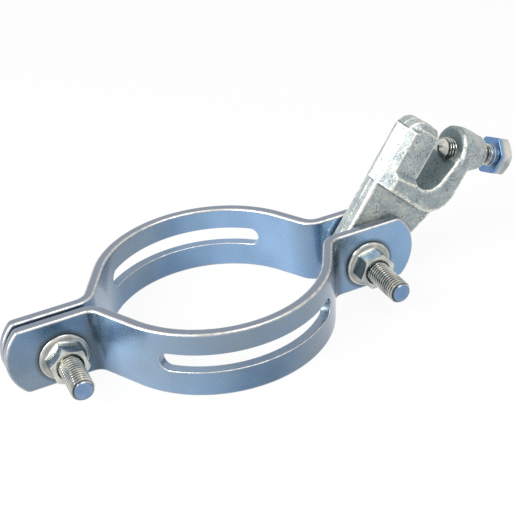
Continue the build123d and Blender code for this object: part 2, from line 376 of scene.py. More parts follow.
@dataclass(frozen=True)
class Patches:
    """A colour that covers a surface in patches of noise, everywhere or where a mark says.

    The noise has a scale and detail in object coordinates, stretched and shifted. Where it is below
    start the colour covers by the share low, above full by the share high, in between evenly.
    """

    colour: Triple
    scale: float
    detail: float
    start: float
    full: float
    low: float
    high: float
    mark: str | None = None
    stretch: Triple = (1.0, 1.0, 1.0)
    shift: Triple = (0.0, 0.0, 0.0)

    def over(self, bench: NodeBench, base: Socket) -> Socket:
        """Cover a colour with the patches.

        Args:
            bench: the material's bench.
            base: the colour underneath.

        Returns:
            The covered colour.
        """
        noise = bench.noise(bench.place(self.stretch, self.shift), self.scale, self.detail)
        share = bench.span(noise, self.start, self.full, self.low, self.high)
        if self.mark is not None:
            share = bench.math("MULTIPLY", bench.mark(self.mark), share)
        return bench.cover(base, self.colour, share)


@dataclass(frozen=True)
class Relief:
    """Noise that stands out of a surface: its scale, detail and roughness, its height in metres."""

    scale: float
    detail: float
    height: float
    strength: float
    roughness: float = 0.5

    def value(self, bench: NodeBench) -> Socket:
        """The noise, 0 to 1."""
        return bench.noise(bench.place(), self.scale, self.detail, self.roughness)

    def bump(self, bench: NodeBench, value: Socket, under: Socket | None = None) -> Socket:
        """Normal bent by the relief.

        Args:
            bench: the material's bench.
            value: the relief's noise.
            under: normal of a relief below this one.

        Returns:
            The bent normal.
        """
        inputs = {"Height": value, "Distance": self.height, "Strength": self.strength}
        if under is not None:
            inputs["Normal"] = under
        return bench.add("ShaderNodeBump", inputs).outputs[0]


@dataclass(frozen=True)
class Finish:
    """What the finishes share: a metal whose grain sets its roughness and stands out over slow waves.

    Noise lies nearly all between noise_low and noise_high. Each finish lays its own colour, whose ground
    is a ramp over clouds of noise.
    """

    name: str
    metallic: float
    smoothest: float
    roughest: float
    waves: Relief
    grain: Relief
    coat: float = 0.0
    coat_roughness: float = 0.03
    noise_low: float = 0.3
    noise_high: float = 0.7

    def colour(self, bench: NodeBench) -> Socket:
        """Base colour."""
        raise NotImplementedError

    def material(self) -> bpy.types.Material:
        """Build the node material.

        Returns:
            The material.
        """
        bench = NodeBench.start(bpy.data.materials.new(self.name))
        grain = self.grain.value(bench)
        waves = self.waves.bump(bench, self.waves.value(bench))
        bench.fill(bench.nodes["Principled BSDF"], {
            "Base Color": self.colour(bench),
            "Metallic": self.metallic,
            "Roughness": bench.span(grain, self.noise_low, self.noise_high, self.smoothest, self.roughest),
            "Coat Weight": self.coat,
            "Coat Roughness": self.coat_roughness,
            "Normal": self.grain.bump(bench, grain, waves),
        })
        return bench.owner


@dataclass(frozen=True)
class ZincStrip(Finish):
    """Blue passivated zinc on the rolled strip: satin and clouded, with pale corners that are partly wear
    and partly a painted highlight.

    It reads the strip's marks: the lengthwise mark, which paints light and shade along the strip, edge and
    corner at its rims, bend for painted shade in the hollows beside the ears, and nut_side on the face
    under the nuts, where a painted contact shadow rings each bolt's flange.
    """

    name: str = "zinc_strip"
    metallic: float = 0.8
    smoothest: float = 0.25
    roughest: float = 0.30
    waves: Relief = Relief(70.0, 2.0, 0.00012, 0.5)
    grain: Relief = Relief(700.0, 3.0, 0.000002, 0.3)
    coat: float = 0.4
    coat_roughness: float = 0.1
    # The ground runs from the strip's painted shade to its painted light, as the lengthwise mark says.
    ground: Stops = ((0.0, (0.07, 0.145, 0.25)), (1.0, (0.33, 0.53, 0.80)))
    cloud_scale: float = 30.0
    cloud_detail: float = 2.0
    cloud_swing: float = 0.16
    rolled: Patches = Patches((0.33, 0.40, 0.52), 900.0, 2.0, 0.35, 0.75, 0.0, 0.1,
                              stretch=(0.25, 0.25, 1.0))
    dulled: Patches = Patches((0.25, 0.30, 0.34), 17.0, 2.0, 0.46, 0.64, 0.0, 0.6,
                              shift=(0.05, 0.02, 0.0))
    # Painted shade: dark patches in the bends beside the ears; its colour also paints the contact shadow
    # round each flange.
    painted_shade: Patches = Patches((0.065, 0.085, 0.105), 60.0, 2.0, 0.3, 0.6, 0.4, 0.8, "bend")
    # Pale corners: wear, and a painted highlight that is strongest on rims that face up.
    wear_and_highlight: Patches = Patches((0.70, 0.67, 0.61), 400.0, 3.0, 0.25, 0.6, 0.35, 0.95, "corner")
    sheared: Triple = (0.20, 0.235, 0.30)
    # The painted contact shadow round each flange runs from this radius out over this width.
    flange_radius: float = 10.8
    ring_width: float = 1.9

    def round_bolt(self, bench: NodeBench) -> Socket:
        """Distance from the nearer bolt's axis: the root of (|x| - spread)^2 + (z + drop)^2.

        Args:
            bench: the material's bench.

        Returns:
            The distance, in metres.
        """
        parts = bench.add("ShaderNodeSeparateXYZ", {0: bench.place()}).outputs
        across = bench.math("SUBTRACT", bench.math("ABSOLUTE", parts["X"]), BOLT_SPREAD * MM)
        along = bench.math("ADD", parts["Z"], BOLT_DROP * MM)
        return bench.math("SQRT", bench.math("ADD", bench.math("MULTIPLY", across, across),
                                             bench.math("MULTIPLY", along, along)))

    def colour(self, bench: NodeBench) -> Socket:
        """Base colour: painted light and shade along the strip, dulled patches, grey edges, painted shade
        in the bends and round the flanges, and corners that are worn and carry a painted highlight.

        Args:
            bench: the material's bench.

        Returns:
            The colour.
        """
        cloud = bench.noise(bench.place(), self.cloud_scale, self.cloud_detail)
        drift = bench.span(cloud, self.noise_low, self.noise_high, -self.cloud_swing, self.cloud_swing)
        base = bench.ramp(bench.math("ADD", bench.mark("painted_light"), drift), self.ground)
        base = self.dulled.over(bench, self.rolled.over(bench, base))
        base = bench.cover(base, self.sheared, bench.mark("edge"))
        # painted shade in the bends
        base = self.painted_shade.over(bench, base)
        # painted contact shadow round each bolt's flange, on the face under the nuts
        ring = bench.span(self.round_bolt(bench), self.flange_radius * MM,
                          (self.flange_radius + self.ring_width) * MM, 1.0, 0.0)
        base = bench.cover(base, self.painted_shade.colour, bench.math("MULTIPLY", bench.mark("nut_side"), ring))
        # corners that are worn and carry a painted highlight
        return self.wear_and_highlight.over(bench, base)


@dataclass(frozen=True)
class ZincHardware(Finish):
    """Bright zinc on bolts and nuts: painted shade in the thread's roots and the nuts' recesses (mark
    root), blue where marked tip.
    """

    name: str = "zinc_hardware"
    metallic: float = 1.0
    smoothest: float = 0.14
    roughest: float = 0.30
    waves: Relief = Relief(160.0, 4.0, 0.00006, 0.4)
    grain: Relief = Relief(1300.0, 3.0, 0.000012, 0.5)
    ground: Stops = ((0.32, (0.30, 0.34, 0.35)), (0.68, (0.72, 0.71, 0.64)))
    # Painted shade for the roots of threads and the nuts' recesses.
    root: Triple = (0.012, 0.012, 0.014)
    blue: Triple = (0.13, 0.25, 0.46)

    def colour(self, bench: NodeBench) -> Socket:
        """Base colour: the plating's clouds, the blue tips and the painted shade in the roots.

        Args:
            bench: the material's bench.

        Returns:
            The colour.
        """
        base = bench.ramp(self.waves.value(bench), self.ground)
        base = bench.cover(base, self.blue, bench.mark("tip"))
        # painted shade in the roots
        return bench.cover(base, self.root, bench.mark("root"))


@dataclass(frozen=True)
class CastZinc(Finish):
    """Galvanised casting: grey with paler and bluer patches, sparkling grains, pits and brown specks.

    It is pale where the mark convex says that an edge stands out, as wear and a painted highlight, and it
    gets painted shade where hollow says it.
    """

    name: str = "cast_zinc"
    metallic: float = 0.7
    smoothest: float = 0.42
    roughest: float = 0.62
    waves: Relief = Relief(420.0, 5.0, 0.0003, 0.9, 0.6)
    grain: Relief = Relief(1900.0, 4.0, 0.0001, 0.9, 0.6)
    ground: Stops = ((0.34, (0.22, 0.275, 0.305)), (0.50, (0.33, 0.385, 0.40)), (0.68, (0.54, 0.56, 0.51)))
    cloud_scale: float = 110.0
    cloud_detail: float = 5.0
    cloud_roughness: float = 0.6
    spark: Patches = Patches((0.80, 0.79, 0.74), 2100.0, 2.0, 0.54, 0.64, 0.0, 0.65)
    # Pale edges that stand out: wear and a painted highlight.
    wear_and_highlight: Patches = Patches((0.90, 0.87, 0.78), 700.0, 3.0, 0.32, 0.58, 0.3, 0.95, "convex")
    # Painted shade in the corners and the throat.
    hollow: Triple = (0.09, 0.145, 0.16)
    rust: Patches = Patches((0.32, 0.20, 0.11), 330.0, 3.0, 0.66, 0.74, 0.0, 0.55,
                            stretch=(1.2, 1.0, 0.9))
    pits: Patches = Patches((0.07, 0.045, 0.025), 620.0, 2.0, 0.68, 0.74, 0.0, 0.9,
                            stretch=(1.0, 1.3, 1.1))

    def colour(self, bench: NodeBench) -> Socket:
        """Base colour: clouds, sparks, edges worn and painted with a highlight, painted shade in the
        hollows, rust and pits.

        Args:
            bench: the material's bench.

        Returns:
            The colour.
        """
        cloud = bench.noise(bench.place(), self.cloud_scale, self.cloud_detail, self.cloud_roughness)
        base = self.spark.over(bench, bench.ramp(cloud, self.ground))
        base = self.wear_and_highlight.over(bench, base)
        # painted shade in corners and the throat
        base = bench.cover(base, self.hollow, bench.mark("hollow"))
        return self.pits.over(bench, self.rust.over(bench, base))


# The split band


@dataclass
class StripPath:
    """Middle line of the rear half band in the XY plane, from the left ear through the arc to the right."""

    thickness: float = 4.5
    bore_radius: float = 47.0
    flank_deg: float = 28.7
    bend_radius: float = 5.5
    left_gap: float = 2.3
    right_gap: float = 12.0
    ear_reach: float = 93.1

    @property
    def middle_radius(self) -> float:
        """Radius of the middle of the strip in the arc."""
        return self.bore_radius + self.thickness / 2

    @property
    def sides(self) -> tuple[tuple[int, float], ...]:
        """Sign and gap of the left and of the right side."""
        return (-1, self.left_gap), (1, self.right_gap)

    def bend_centre(self, gap: float) -> tuple[float, float]:
        """Centre of the bend into an ear.

        Args:
            gap: gap between the two ears of that side.

        Returns:
            Its places along X and across.
        """
        lean, across = math.radians(self.flank_deg), gap / 2 + self.thickness
        outer = self.bore_radius + self.thickness
        corner = (outer - across * math.sin(lean)) / math.cos(lean)
        return corner + self.bend_radius * math.tan((math.pi / 2 - lean) / 2), across + self.bend_radius

    def lengths(self, gap: float) -> tuple[float, float, float, float]:
        """Lengths along the middle line.

        Args:
            gap: gap between the two ears of that side.

        Returns:
            Those of the half arc, the flank, the bend and the ear.
        """
        lean = math.radians(self.flank_deg)
        along, across = self.bend_centre(gap)
        outer, bend = self.bore_radius + self.thickness, self.bend_radius
        reach = bend + outer
        flank = math.hypot(along - reach * math.cos(lean), across - reach * math.sin(lean))
        turn = math.pi / 2 - lean
        return self.middle_radius * turn, flank, (bend + self.thickness / 2) * turn, self.ear_reach - along

    def end(self, gap: float) -> float:
        """Whole length from the middle of the arc to the ear's end."""
        return sum(self.lengths(gap))

    def side(self, distance: Array, gap: float) -> tuple[Array, Array, Array, Array]:
        """Place and outward normal at distances from the middle of the arc, on the right-hand side.

        Over the half arc the polar angle falls from 90 degrees by distance over radius; over the flank
        the place moves on a straight line; over the bend the normal's angle climbs back to 90 degrees
        about the bend's centre; the ear runs straight along X.

        Args:
            distance: distances along the middle line, in millimetres.
            gap: gap between the two ears of that side.

        Returns:
            x, y, and the normal's x and y.
        """
        lean = math.radians(self.flank_deg)
        arc, flank, bend, _ = self.lengths(gap)
        along, across = self.bend_centre(gap)
        bend_middle = self.bend_radius + self.thickness / 2
        angle = np.pi / 2 - np.clip(distance, 0, arc) / self.middle_radius
        angle = angle + np.clip(distance - arc - flank, 0, bend) / bend_middle
        normal_x, normal_y = np.cos(angle), np.sin(angle)
        on_flank = np.clip(distance - arc, 0, flank)
        x = self.middle_radius * normal_x + on_flank * math.sin(lean)
        y = self.middle_radius * normal_y - on_flank * math.cos(lean)
        beyond = distance > arc + flank
        past = np.clip(distance - arc - flank - bend, 0, None)
        x = np.where(beyond, along - bend_middle * normal_x + past, x)
        y = np.where(beyond, across - bend_middle * normal_y, y)
        return x, y, normal_x, normal_y

    def at(self, distance: Array) -> tuple[Array, Array, Array, Array]:
        """Place and normal on both sides.

        Args:
            distance: distances from the middle of the arc, negative to the left.

        Returns:
            x, y, and the normal's x and y.
        """
        right = self.side(np.abs(distance), self.right_gap)
        left = self.side(np.abs(distance), self.left_gap)
        sign = np.where(distance < 0, -1.0, 1.0)
        pick = [np.where(distance < 0, a, b) for a, b in zip(left, right)]
        return pick[0] * sign, pick[1], pick[2] * sign, pick[3]


@dataclass
class Rim:
    """A closed edge of the flat blank: its line, its outward directions, its rounding and its greyness."""

    line: Array
    outward: Array
    radius: float
    greyness: float = 1.0


@dataclass
class HalfBand:
    """One half of the band: a flat blank with a slot and two holes, rounded at its rims and bent."""

    path: StripPath = field(default_factory=StripPath)
    height: float = 30.0
    edge_radius: float = 1.1
    end_sagitta: float = 6.5
    corner_radius: float = 2.4
    slot_height: float = 8.2
    slot_rise: float = 0.9
    slot_half_deg: float = 48.5
    slot_edge_radius: float = 0.45
    slot_greyness: float = 0.25
    hole_diameter: float = 11.0
    hole_edge_radius: float = 0.3
    grid: float = 1.15
    grid_stretch: float = 1.6
    grid_margin: float = 0.45
    end_points: int = 41
    slot_end_points: int = 19
    hole_points: int = 48
    rim_steps: int = 6
    # Share of the pale corner on rims that face down; rims that face up get all of it, as a painted
    # highlight.
    downward_rim_share: float = 0.35
    # Middle of each bend, as a share of it, and the width of the bell of painted shade there; the painted
    # light along the strip also has knots at the middle.
    bend_middle: float = 0.55
    bend_shade_spread: float = 0.5
    middle_share: float = 0.45
    # Painted light and shade along each half, from the left ear's end over bends, flanks and arc to the
    # right ear's end: low is painted shade, high painted light.
    front_painted_light: tuple[float, ...] = (0.06, 0.06, 0.10, 0.95, 0.36, 0.12, 0.18, 0.42, 0.20, 0.66, 0.60)
    rear_painted_light: tuple[float, ...] = (0.26, 0.26, 0.15, 0.30, 0.16, 0.26, 0.66, 0.80, 0.25, 0.50, 0.50)

    @property
    def bow(self) -> float:
        """Radius of the arc at either end, from its half chord and its sagitta."""
        return ((self.height / 2) ** 2 + self.end_sagitta ** 2) / (2 * self.end_sagitta)

    @property
    def slot_reach(self) -> float:
        """Distance from the slot's middle to the centre of either round end."""
        return self.path.middle_radius * math.radians(self.slot_half_deg) - self.slot_height / 2

    def hole_centres(self) -> list[Array]:
        """Centres of the two bolt holes on the blank, left and right."""
        inset = self.path.ear_reach - BOLT_SPREAD
        return [np.array([side * (self.path.end(gap) - inset), -BOLT_DROP])
                for side, gap in self.path.sides]

    def blank_outline(self) -> Array:
        """Outline of the flat blank, before its corners are rounded, as dense points.

        The long sides are straight; each end is the arc through the two shoulders and the ear's tip.

        Returns:
            n by 2 points, turning left.
        """
        half, bow = self.height / 2, self.bow
        open_angle = math.asin(half / bow)
        angle = np.linspace(-open_angle, open_angle, self.end_points)
        right_end, left_end = self.path.end(self.path.right_gap), -self.path.end(self.path.left_gap)
        right = np.stack([right_end - bow + bow * np.cos(angle), bow * np.sin(angle)], axis=1)
        left = np.stack([left_end + bow - bow * np.cos(angle), -bow * np.sin(angle)], axis=1)
        count = int((right_end - left_end) / self.grid)
        level = np.full(count - 2, half)
        top = np.stack([np.linspace(right[-1, 0], left[0, 0], count)[1:-1], level], axis=1)
        low = np.stack([np.linspace(left[-1, 0], right[0, 0], count)[1:-1], -level], axis=1)
        return np.vstack([right, top, left, low])

    def outer_rim(self) -> Rim:
        """The blank's outer edge with its four corners rounded.

        Each corner's points are pulled onto the circle of the corner radius that touches both sides:
        a point nearer to the corner than the circle allows is moved onto it along the line to its centre.

        Returns:
            The rim.
        """
        line = self.blank_outline()
        bow, radius = self.bow, self.corner_radius
        level = self.height / 2 - radius
        reach = math.sqrt((bow - radius) ** 2 - level ** 2)
        for side, gap in self.path.sides:
            bow_centre = side * (self.path.end(gap) - bow)
            for up in (1, -1):
                centre = np.array([bow_centre + side * reach, up * level])
                to_side = np.array([0.0, up])
                to_end = (centre - np.array([bow_centre, 0.0])) / (bow - radius)
                ray = line - centre
                length = np.linalg.norm(ray, axis=1)
                turned = np.cross(to_side, ray) * side * up <= 0
                within = turned & (np.cross(to_end, ray) * side * up >= 0) & (length < 4 * radius)
                line[within] = centre + ray[within] / length[within, None] * radius
        step = np.roll(line, -1, axis=0) - np.roll(line, 1, axis=0)
        outward = np.stack([step[:, 1], -step[:, 0]], axis=1)
        return Rim(line, outward / np.linalg.norm(outward, axis=1, keepdims=True), self.edge_radius)

    def slot_rim(self) -> Rim:
        """The long slot's edge: two straight sides and two half circles, turning right.

        Returns:
            The rim.
        """
        radius, reach = self.slot_height / 2, self.slot_reach
        count = int(2 * reach / self.grid)
        turn = np.linspace(-np.pi / 2, np.pi / 2, self.slot_end_points)
        right = np.stack([reach + radius * np.cos(turn), radius * np.sin(turn)], axis=1)
        top = np.stack([np.linspace(reach, -reach, count)[1:-1], np.full(count - 2, radius)], axis=1)
        line = np.vstack([right, top, -right, -top])[::-1]
        inward = np.stack([np.clip(line[:, 0], -reach, reach) - line[:, 0], -line[:, 1]], axis=1)
        outward = inward / np.linalg.norm(inward, axis=1, keepdims=True)
        return Rim(line + (0, self.slot_rise), outward, self.slot_edge_radius, self.slot_greyness)

    def hole_rims(self) -> list[Rim]:
        """Edges of the two bolt holes, turning right.

        Returns:
            The left rim and the right.
        """
        turn = -2 * np.pi * np.arange(self.hole_points) / self.hole_points
        ring = np.stack([np.cos(turn), np.sin(turn)], axis=1)
        return [Rim(ring * self.hole_diameter / 2 + centre, -ring, self.hole_edge_radius)
                for centre in self.hole_centres()]

    def clear_of_openings(self, spots: Array, margin: float) -> Array:
        """Which spots lie outside the rims of the slot and the holes.

        Args:
            spots: n by 2 places on the blank.
            margin: how far outside.

        Returns:
            The selection.
        """
        nearest = np.clip(spots[:, 0], -self.slot_reach, self.slot_reach)
        slot = np.hypot(spots[:, 0] - nearest, spots[:, 1] - self.slot_rise)
        keep = slot > self.slot_height / 2 + self.slot_edge_radius + margin
        for centre in self.hole_centres():
            hole = np.linalg.norm(spots - centre, axis=1)
            keep &= hole > self.hole_diameter / 2 + self.hole_edge_radius + margin
        return keep

    def clear_of_rims(self, spots: Array, margin: float) -> Array:
        """Which spots lie in the material, clear of every rim and corner.

        Args:
            spots: n by 2 places on the blank.
            margin: how far from them.

        Returns:
            The selection.
        """
        along, level = spots[:, 0], np.abs(spots[:, 1])
        inset, cut = self.edge_radius + margin, self.corner_radius + margin
        keep = self.clear_of_openings(spots, margin) & (level < self.height / 2 - inset)
        for side, gap in self.path.sides:
            end = self.path.end(gap)
            middle = np.array([side * (end - self.bow), 0.0])
            within = np.linalg.norm(spots - middle, axis=1) < self.bow - inset
            keep &= (side * along <= end - self.bow) | within
            keep &= (level <= self.height / 2 - cut) | (side * along <= end - self.end_sagitta - cut)
        return keep

    def face_triangles(self, rims: list[Rim]) -> tuple[Array, Array]:
        """Fill the blank between its rims with triangles.

        The rims' inner lines and a regular grid of points between them are joined by a constrained
        Delaunay triangulation, and triangles that fall in the slot or a hole are dropped.

        Args:
            rims: all rims; their lines, drawn in by each radius, come first among the points.

        Returns:
            The points of the blank and its triangles.
        """
        inner = [rim.line - rim.outward * rim.radius for rim in rims]
        edges, start = [], 0
        for line in inner:
            count = len(line)
            edges += [(start + i, start + (i + 1) % count) for i in range(count)]
            start += count
        low, high = -self.path.end(self.path.left_gap), self.path.end(self.path.right_gap)
        lowest = 1 - self.height / 2
        across, up = np.meshgrid(np.arange(low, high, self.grid),
                                 np.arange(lowest, self.height / 2, self.grid * self.grid_stretch),
                                 indexing="ij")
        spots = np.stack([across.ravel(), up.ravel()], axis=1)
        spots = spots[self.clear_of_rims(spots, self.grid_margin * self.grid)]
        points = np.vstack([*inner, spots])
        found, _, triangles, *_ = delaunay_2d_cdt([Vector(p) for p in points], edges, [], 1, 1e-6)
        if len(found) != len(points):
            raise RuntimeError("the blank's rims cross")
        triangles = np.array(triangles)
        places = np.array([tuple(v) for v in found])
        middle = places[triangles].mean(axis=1)
        return places, triangles[self.clear_of_openings(middle, -0.02)]

    @property
    def rim_turns(self) -> list[tuple[float, int]]:
        """Angle of each row round a rim, from the outer face on, and its side of the strip's middle."""
        steps = np.linspace(0, np.pi / 2, self.rim_steps + 1)[1:]
        return [(step, 1) for step in steps] + [(np.pi - step, -1) for step in steps[:0:-1]]

    def layers(self, flat: Array, rims: list[Rim]) -> tuple[Array, ...]:
        """Everything that the bent shell needs to know at its points: both faces', then each rim's.

        Over a rim of radius r the depth is t/2 - r(1 - |cos b|) on either side of the middle and the
        inset r(1 - sin b), as b goes from 0 to 180 degrees.

        Args:
            flat: points of the blank on either face.
            rims: all rims.

        Returns:
            Spots on the blank, depths, tilts of the normal within the blank, its shares out of the
            face, and the marks corner and edge.
        """
        half, count = self.path.thickness / 2, len(flat)
        whole, none = np.ones(count), np.zeros(count)
        parts = [(flat, side * half * whole, np.zeros((count, 2)), side * whole, none, none)
                 for side in (1, -1)]
        for rim in rims:
            line = np.ones(len(rim.line))
            for angle, side in self.rim_turns:
                sine, cosine = math.sin(angle), math.cos(angle)
                inset, depth = rim.radius * (1 - sine), half - rim.radius + rim.radius * abs(cosine)
                parts.append((rim.line - rim.outward * inset, side * depth * line, rim.outward * sine,
                              cosine * line, abs(math.sin(2 * angle)) * line, rim.greyness * sine * line))
        return tuple(np.concatenate(part) for part in zip(*parts))

    def walls(self, rims: list[Rim], base: int) -> list[tuple[int, ...]]:
        """Quads round every rim, from one face's inner line over the rim's rows to the other's.

        Args:
            rims: all rims.
            base: number of points on either face.

        Returns:
            The quads.
        """
        quads, first, total, turns = [], 0, 2 * base, len(self.rim_turns)
        for rim in rims:
            count = len(rim.line)
            index = np.arange(count)
            after = (index + 1) % count
            starts = [first, *range(total, total + turns * count, count), base + first]
            quads += [np.stack([upper + index, lower + index, lower + after, upper + after], axis=1)
                      for upper, lower in zip(starts[:-1], starts[1:])]
            first, total = first + count, total + turns * count
        return [tuple(quad) for quad in np.vstack(quads).tolist()]

    def shell(self, front: bool) -> Shell:
        """Bend the blank and its rims into the half band.

        A point at distance s along the strip, height z and depth w lies at P(s) + w n(s) with z kept,
        where P is the strip's middle line and n its normal.

        Args:
            front: whether to mirror the half to -Y.

        Returns:
            The closed shell with its exact normals.
        """
        rims = [self.outer_rim(), self.slot_rim(), *self.hole_rims()]
        flat, triangles = self.face_triangles(rims)
        both = np.vstack([triangles, triangles[:, ::-1] + len(flat)])
        faces = [tuple(corners) for corners in both.tolist()] + self.walls(rims, len(flat))
        spots, depth, tilt, facing, corner, edge = self.layers(flat, rims)
        x, y, normal_x, normal_y = self.path.at(spots[:, 0])
        points = np.stack([x + depth * normal_x, y + depth * normal_y, spots[:, 1]], axis=1)
        normals = np.stack([facing * normal_x + tilt[:, 0] * normal_y,
                            facing * normal_y - tilt[:, 0] * normal_x, tilt[:, 1]], axis=1)
        normals /= np.linalg.norm(normals, axis=1, keepdims=True)
        if front:
            points[:, 1] *= -1
            normals[:, 1] *= -1
        else:
            faces = [face[::-1] for face in faces]
        outer = np.clip(facing, 0, 1)
        # Rims that face up keep more of the pale corner: a painted highlight on top of the wear.
        corner *= self.downward_rim_share + (1 - self.downward_rim_share) * np.clip(2 * tilt[:, 1], 0, 1)
        # bend paints shade in the bends, nut_side carries the painted contact shadow round the flanges, and
        # the lengthwise mark paints light and shade.
        marks = {"corner": corner, "edge": edge, "bend": outer * self.bend_shade_share(spots[:, 0]),
                 "nut_side": outer * front, "painted_light": self.painted_light(spots[:, 0], front)}
        return Shell(points, faces, normals, marks)

    def painted_light(self, distance: Array, front: bool) -> Array:
        """Painted light and shade along the strip, 0 deep shade to 1 light, which the zinc's colour ramp
        reads.

        It runs straight between values at the ear's end, the ear's root, near the middles of the bend,
        the flank and the half arc, and at the arc's top, from the left ear to the right.

        Args:
            distance: distances along the middle line, in millimetres.
            front: whether it is the front half.

        Returns:
            The painted light at each distance.
        """
        knots = []
        for side, gap in self.path.sides:
            arc, flank, bend, ear = self.path.lengths(gap)
            root = arc + flank
            stops = [self.middle_share * arc, arc + self.middle_share * flank,
                     root + self.bend_middle * bend, root + 2 * self.bend_middle * bend, root + bend + ear]
            knots.append([side * stop for stop in stops])
        places = knots[0][::-1] + [0.0] + knots[1]
        return np.interp(distance, places, self.front_painted_light if front else self.rear_painted_light)

    def bend_shade_share(self, distance: Array) -> Array:
        """Bell over the middle of each bend, which paints shade into the hollow.

        Args:
            distance: distances along the middle line, in millimetres.

        Returns:
            The bell's value at each distance, 0 to 1.
        """
        share = np.zeros(len(distance))
        for side, gap in self.path.sides:
            arc, flank, bend, _ = self.path.lengths(gap)
            off = (side * distance - arc - flank - self.bend_middle * bend) / (self.bend_shade_spread * bend)
            share += np.exp(-off ** 2)
        return share

    def build(self, front: bool, finish: bpy.types.Material) -> None:
        """Make one half band and dress it.

        Args:
            front: whether it is the front half.
            finish: its material.
        """
        half = "front_half" if front else "rear_half"
        piece = self.shell(front).to_object(f"{half}_band_strip")
        dress(piece, f"{half}_band", half, finish)


# Threads, bolts, nuts and the set screw


@dataclass
class Thread:
    """Rounded V thread cut into a shaft."""

    diameter: float = 10.0
    pitch: float = 1.5
    depth_share: float = 0.6134
    crest_flat: float = 0.125
    flank: float = 0.6

    @property
    def depth(self) -> float:
        """Depth of the cut thread."""
        return self.depth_share * self.pitch

    def row(self, height: float, angle: Array, from_end: float) -> tuple[Array, Array]:
        """Radius and root mark, which paints shade into the groove, round one row.

        The groove is a triangle wave of height less pitch times angle over a full turn, clipped at the
        crest and at the root, and it fades out over the last turn before the thread's end.

        Args:
            height: the row's height, in millimetres.
            angle: angles, in radians.
            from_end: how far the row is from the end of the thread.

        Returns:
            The radius, and the mark of painted shade, 0 at the crest and 1 at the root.
        """
        phase = (height / self.pitch - angle / (2 * np.pi)) % 1.0
        wave = 1 - np.abs(2 * phase - 1)
        cut = np.clip((wave - self.crest_flat) / self.flank, 0, 1) * np.clip(from_end / self.pitch, 0, 1)
        return self.diameter / 2 - self.depth * cut, np.clip(cut * 1.1 - 0.1, 0, 1)


@dataclass
class Hexagon:
    """A hexagon's outline as a radius over the angle, its corners rounded a little."""

    across_flats: float
    corner_round: float = 0.35
    ease_share: float = 0.25
    top_share: float = 0.94
    chamfer_deg: float = 30.0

    def radius(self, angle: Array) -> Array:
        """Radius of the outline: half the width over the cosine from the nearest flat, eased at corners.

        Args:
            angle: angles, in radians.

        Returns:
            The radius at each.
        """
        from_flat = angle % (np.pi / 3) - np.pi / 6
        apothem = self.across_flats / 2
        sharp = apothem / np.cos(from_flat)
        limit = apothem / math.cos(math.pi / 6) - self.corner_round / 2
        ease = self.ease_share * self.corner_round
        return limit - ease * np.logaddexp(0, (limit - sharp) / ease)

    @property
    def crown(self) -> float:
        """Radius of the flat crown inside the turned chamfer."""
        return self.top_share * self.across_flats / 2

    def drop(self, radius: Array) -> Array:
        """How far the turned chamfer has fallen at a radius."""
        return np.clip(radius - self.crown, 0, None) * math.tan(math.radians(self.chamfer_deg))


def turned_about_z(points: Array, turn_deg: float) -> tuple[Array, Array, Array]:
    """Turn places about Z.

    Args:
        points: n by 3 places.
        turn_deg: how far, to the left.

    Returns:
        Their x, y and z.
    """
    turn = math.radians(turn_deg)
    x, y, z = points.T
    return x * math.cos(turn) - y * math.sin(turn), x * math.sin(turn) + y * math.cos(turn), z


def place_along_y(shell: Shell, x: float, y: float, z: float, turn_deg: float = 0.0) -> Shell:
    """Lay a shell built about Z onto a bolt's axis: its Z turns to -Y and its X stays.

    Args:
        shell: the shell.
        x: place of its origin.
        y: place of its origin.
        z: place of its origin.
        turn_deg: turn about its own axis first.

    Returns:
        The same shell, moved.
    """
    right, back, height = turned_about_z(shell.points, turn_deg)
    shell.points = np.stack([right + x, y - height, back + z], axis=1)
    return shell


@dataclass
class Bolt:
    """Hexagon-head bolt, turned about Z with its head below zero and its thread upwards."""

    name: str
    side: int
    seat: float
    length: float
    thread_length: float
    thread: Thread = field(default_factory=Thread)
    hexagon: Hexagon = field(default_factory=lambda: Hexagon(16.0))
    head_height: float = 6.4
    fillet: float = 0.35
    underside_edge: float = 0.25
    underside_inset: float = 0.18
    end_chamfer: float = 1.2
    end_edge: float = 0.18
    end_blue: float = 0.8
    edge_hold: float = 0.12
    run_out: float = 0.6
    sharp_deg: float = 32.0
    rows_per_turn: int = 9
    columns: int = 96

    def shell(self) -> Shell:
        """Rows from the head's crown over its chamfer, flats and underside, along the shank to the end.

        The head's rows take the hexagon's radius at each angle; the thread's rows take the shank's radius
        less the groove; the end's rows shrink on a cone.

        Returns:
            The closed shell.
        """
        rows = TurnedRows(self.columns)
        corner, crown = self.hexagon.radius(rows.angle), self.hexagon.crown
        shank, end = self.thread.diameter / 2, self.thread.diameter / 2 - self.end_chamfer
        for share in (0.02, 0.55, 0.97, 1.0):
            rows.add(crown * share, -self.head_height)
        for share in (0.35, 0.9):
            radius = crown + (corner - crown) * share
            rows.add(radius, self.hexagon.drop(radius) - self.head_height)
        rows.add(corner, self.hexagon.drop(corner) - self.head_height + self.edge_hold)
        rows.add(corner, -self.underside_edge)
        rows.add(corner - self.underside_inset, 0.0)
        rows.add(shank + self.fillet, 0.0)
        rows.add(shank, self.fillet)
        start = self.length - self.thread_length
        rows.add(shank, start - self.run_out)
        count = int(self.thread_length / self.thread.pitch * self.rows_per_turn)
        for height in np.linspace(start, self.length, count):
            radius, root = self.thread.row(height, rows.angle, height - start)
            rows.add(np.minimum(radius, end + self.length - height), height, root)
        for radius in (end - self.end_edge, end * 0.4, POLE_RING):
            rows.add(radius, self.length)
        radii, heights, root_shades = rows.stacked()
        tip = (heights > self.length - self.end_edge) * self.end_blue
        return turned_shell(radii, heights, {"root": root_shades, "tip": tip})

    def build(self, finish: bpy.types.Material) -> None:
        """Make the bolt on its axis and dress it.

        Args:
            finish: its material.
        """
        shell = place_along_y(self.shell(), self.side * BOLT_SPREAD, self.seat, -BOLT_DROP)
        piece = shell.to_object(f"{self.name}_threaded", self.sharp_deg)
        dress(piece, self.name, "rear_half", finish)


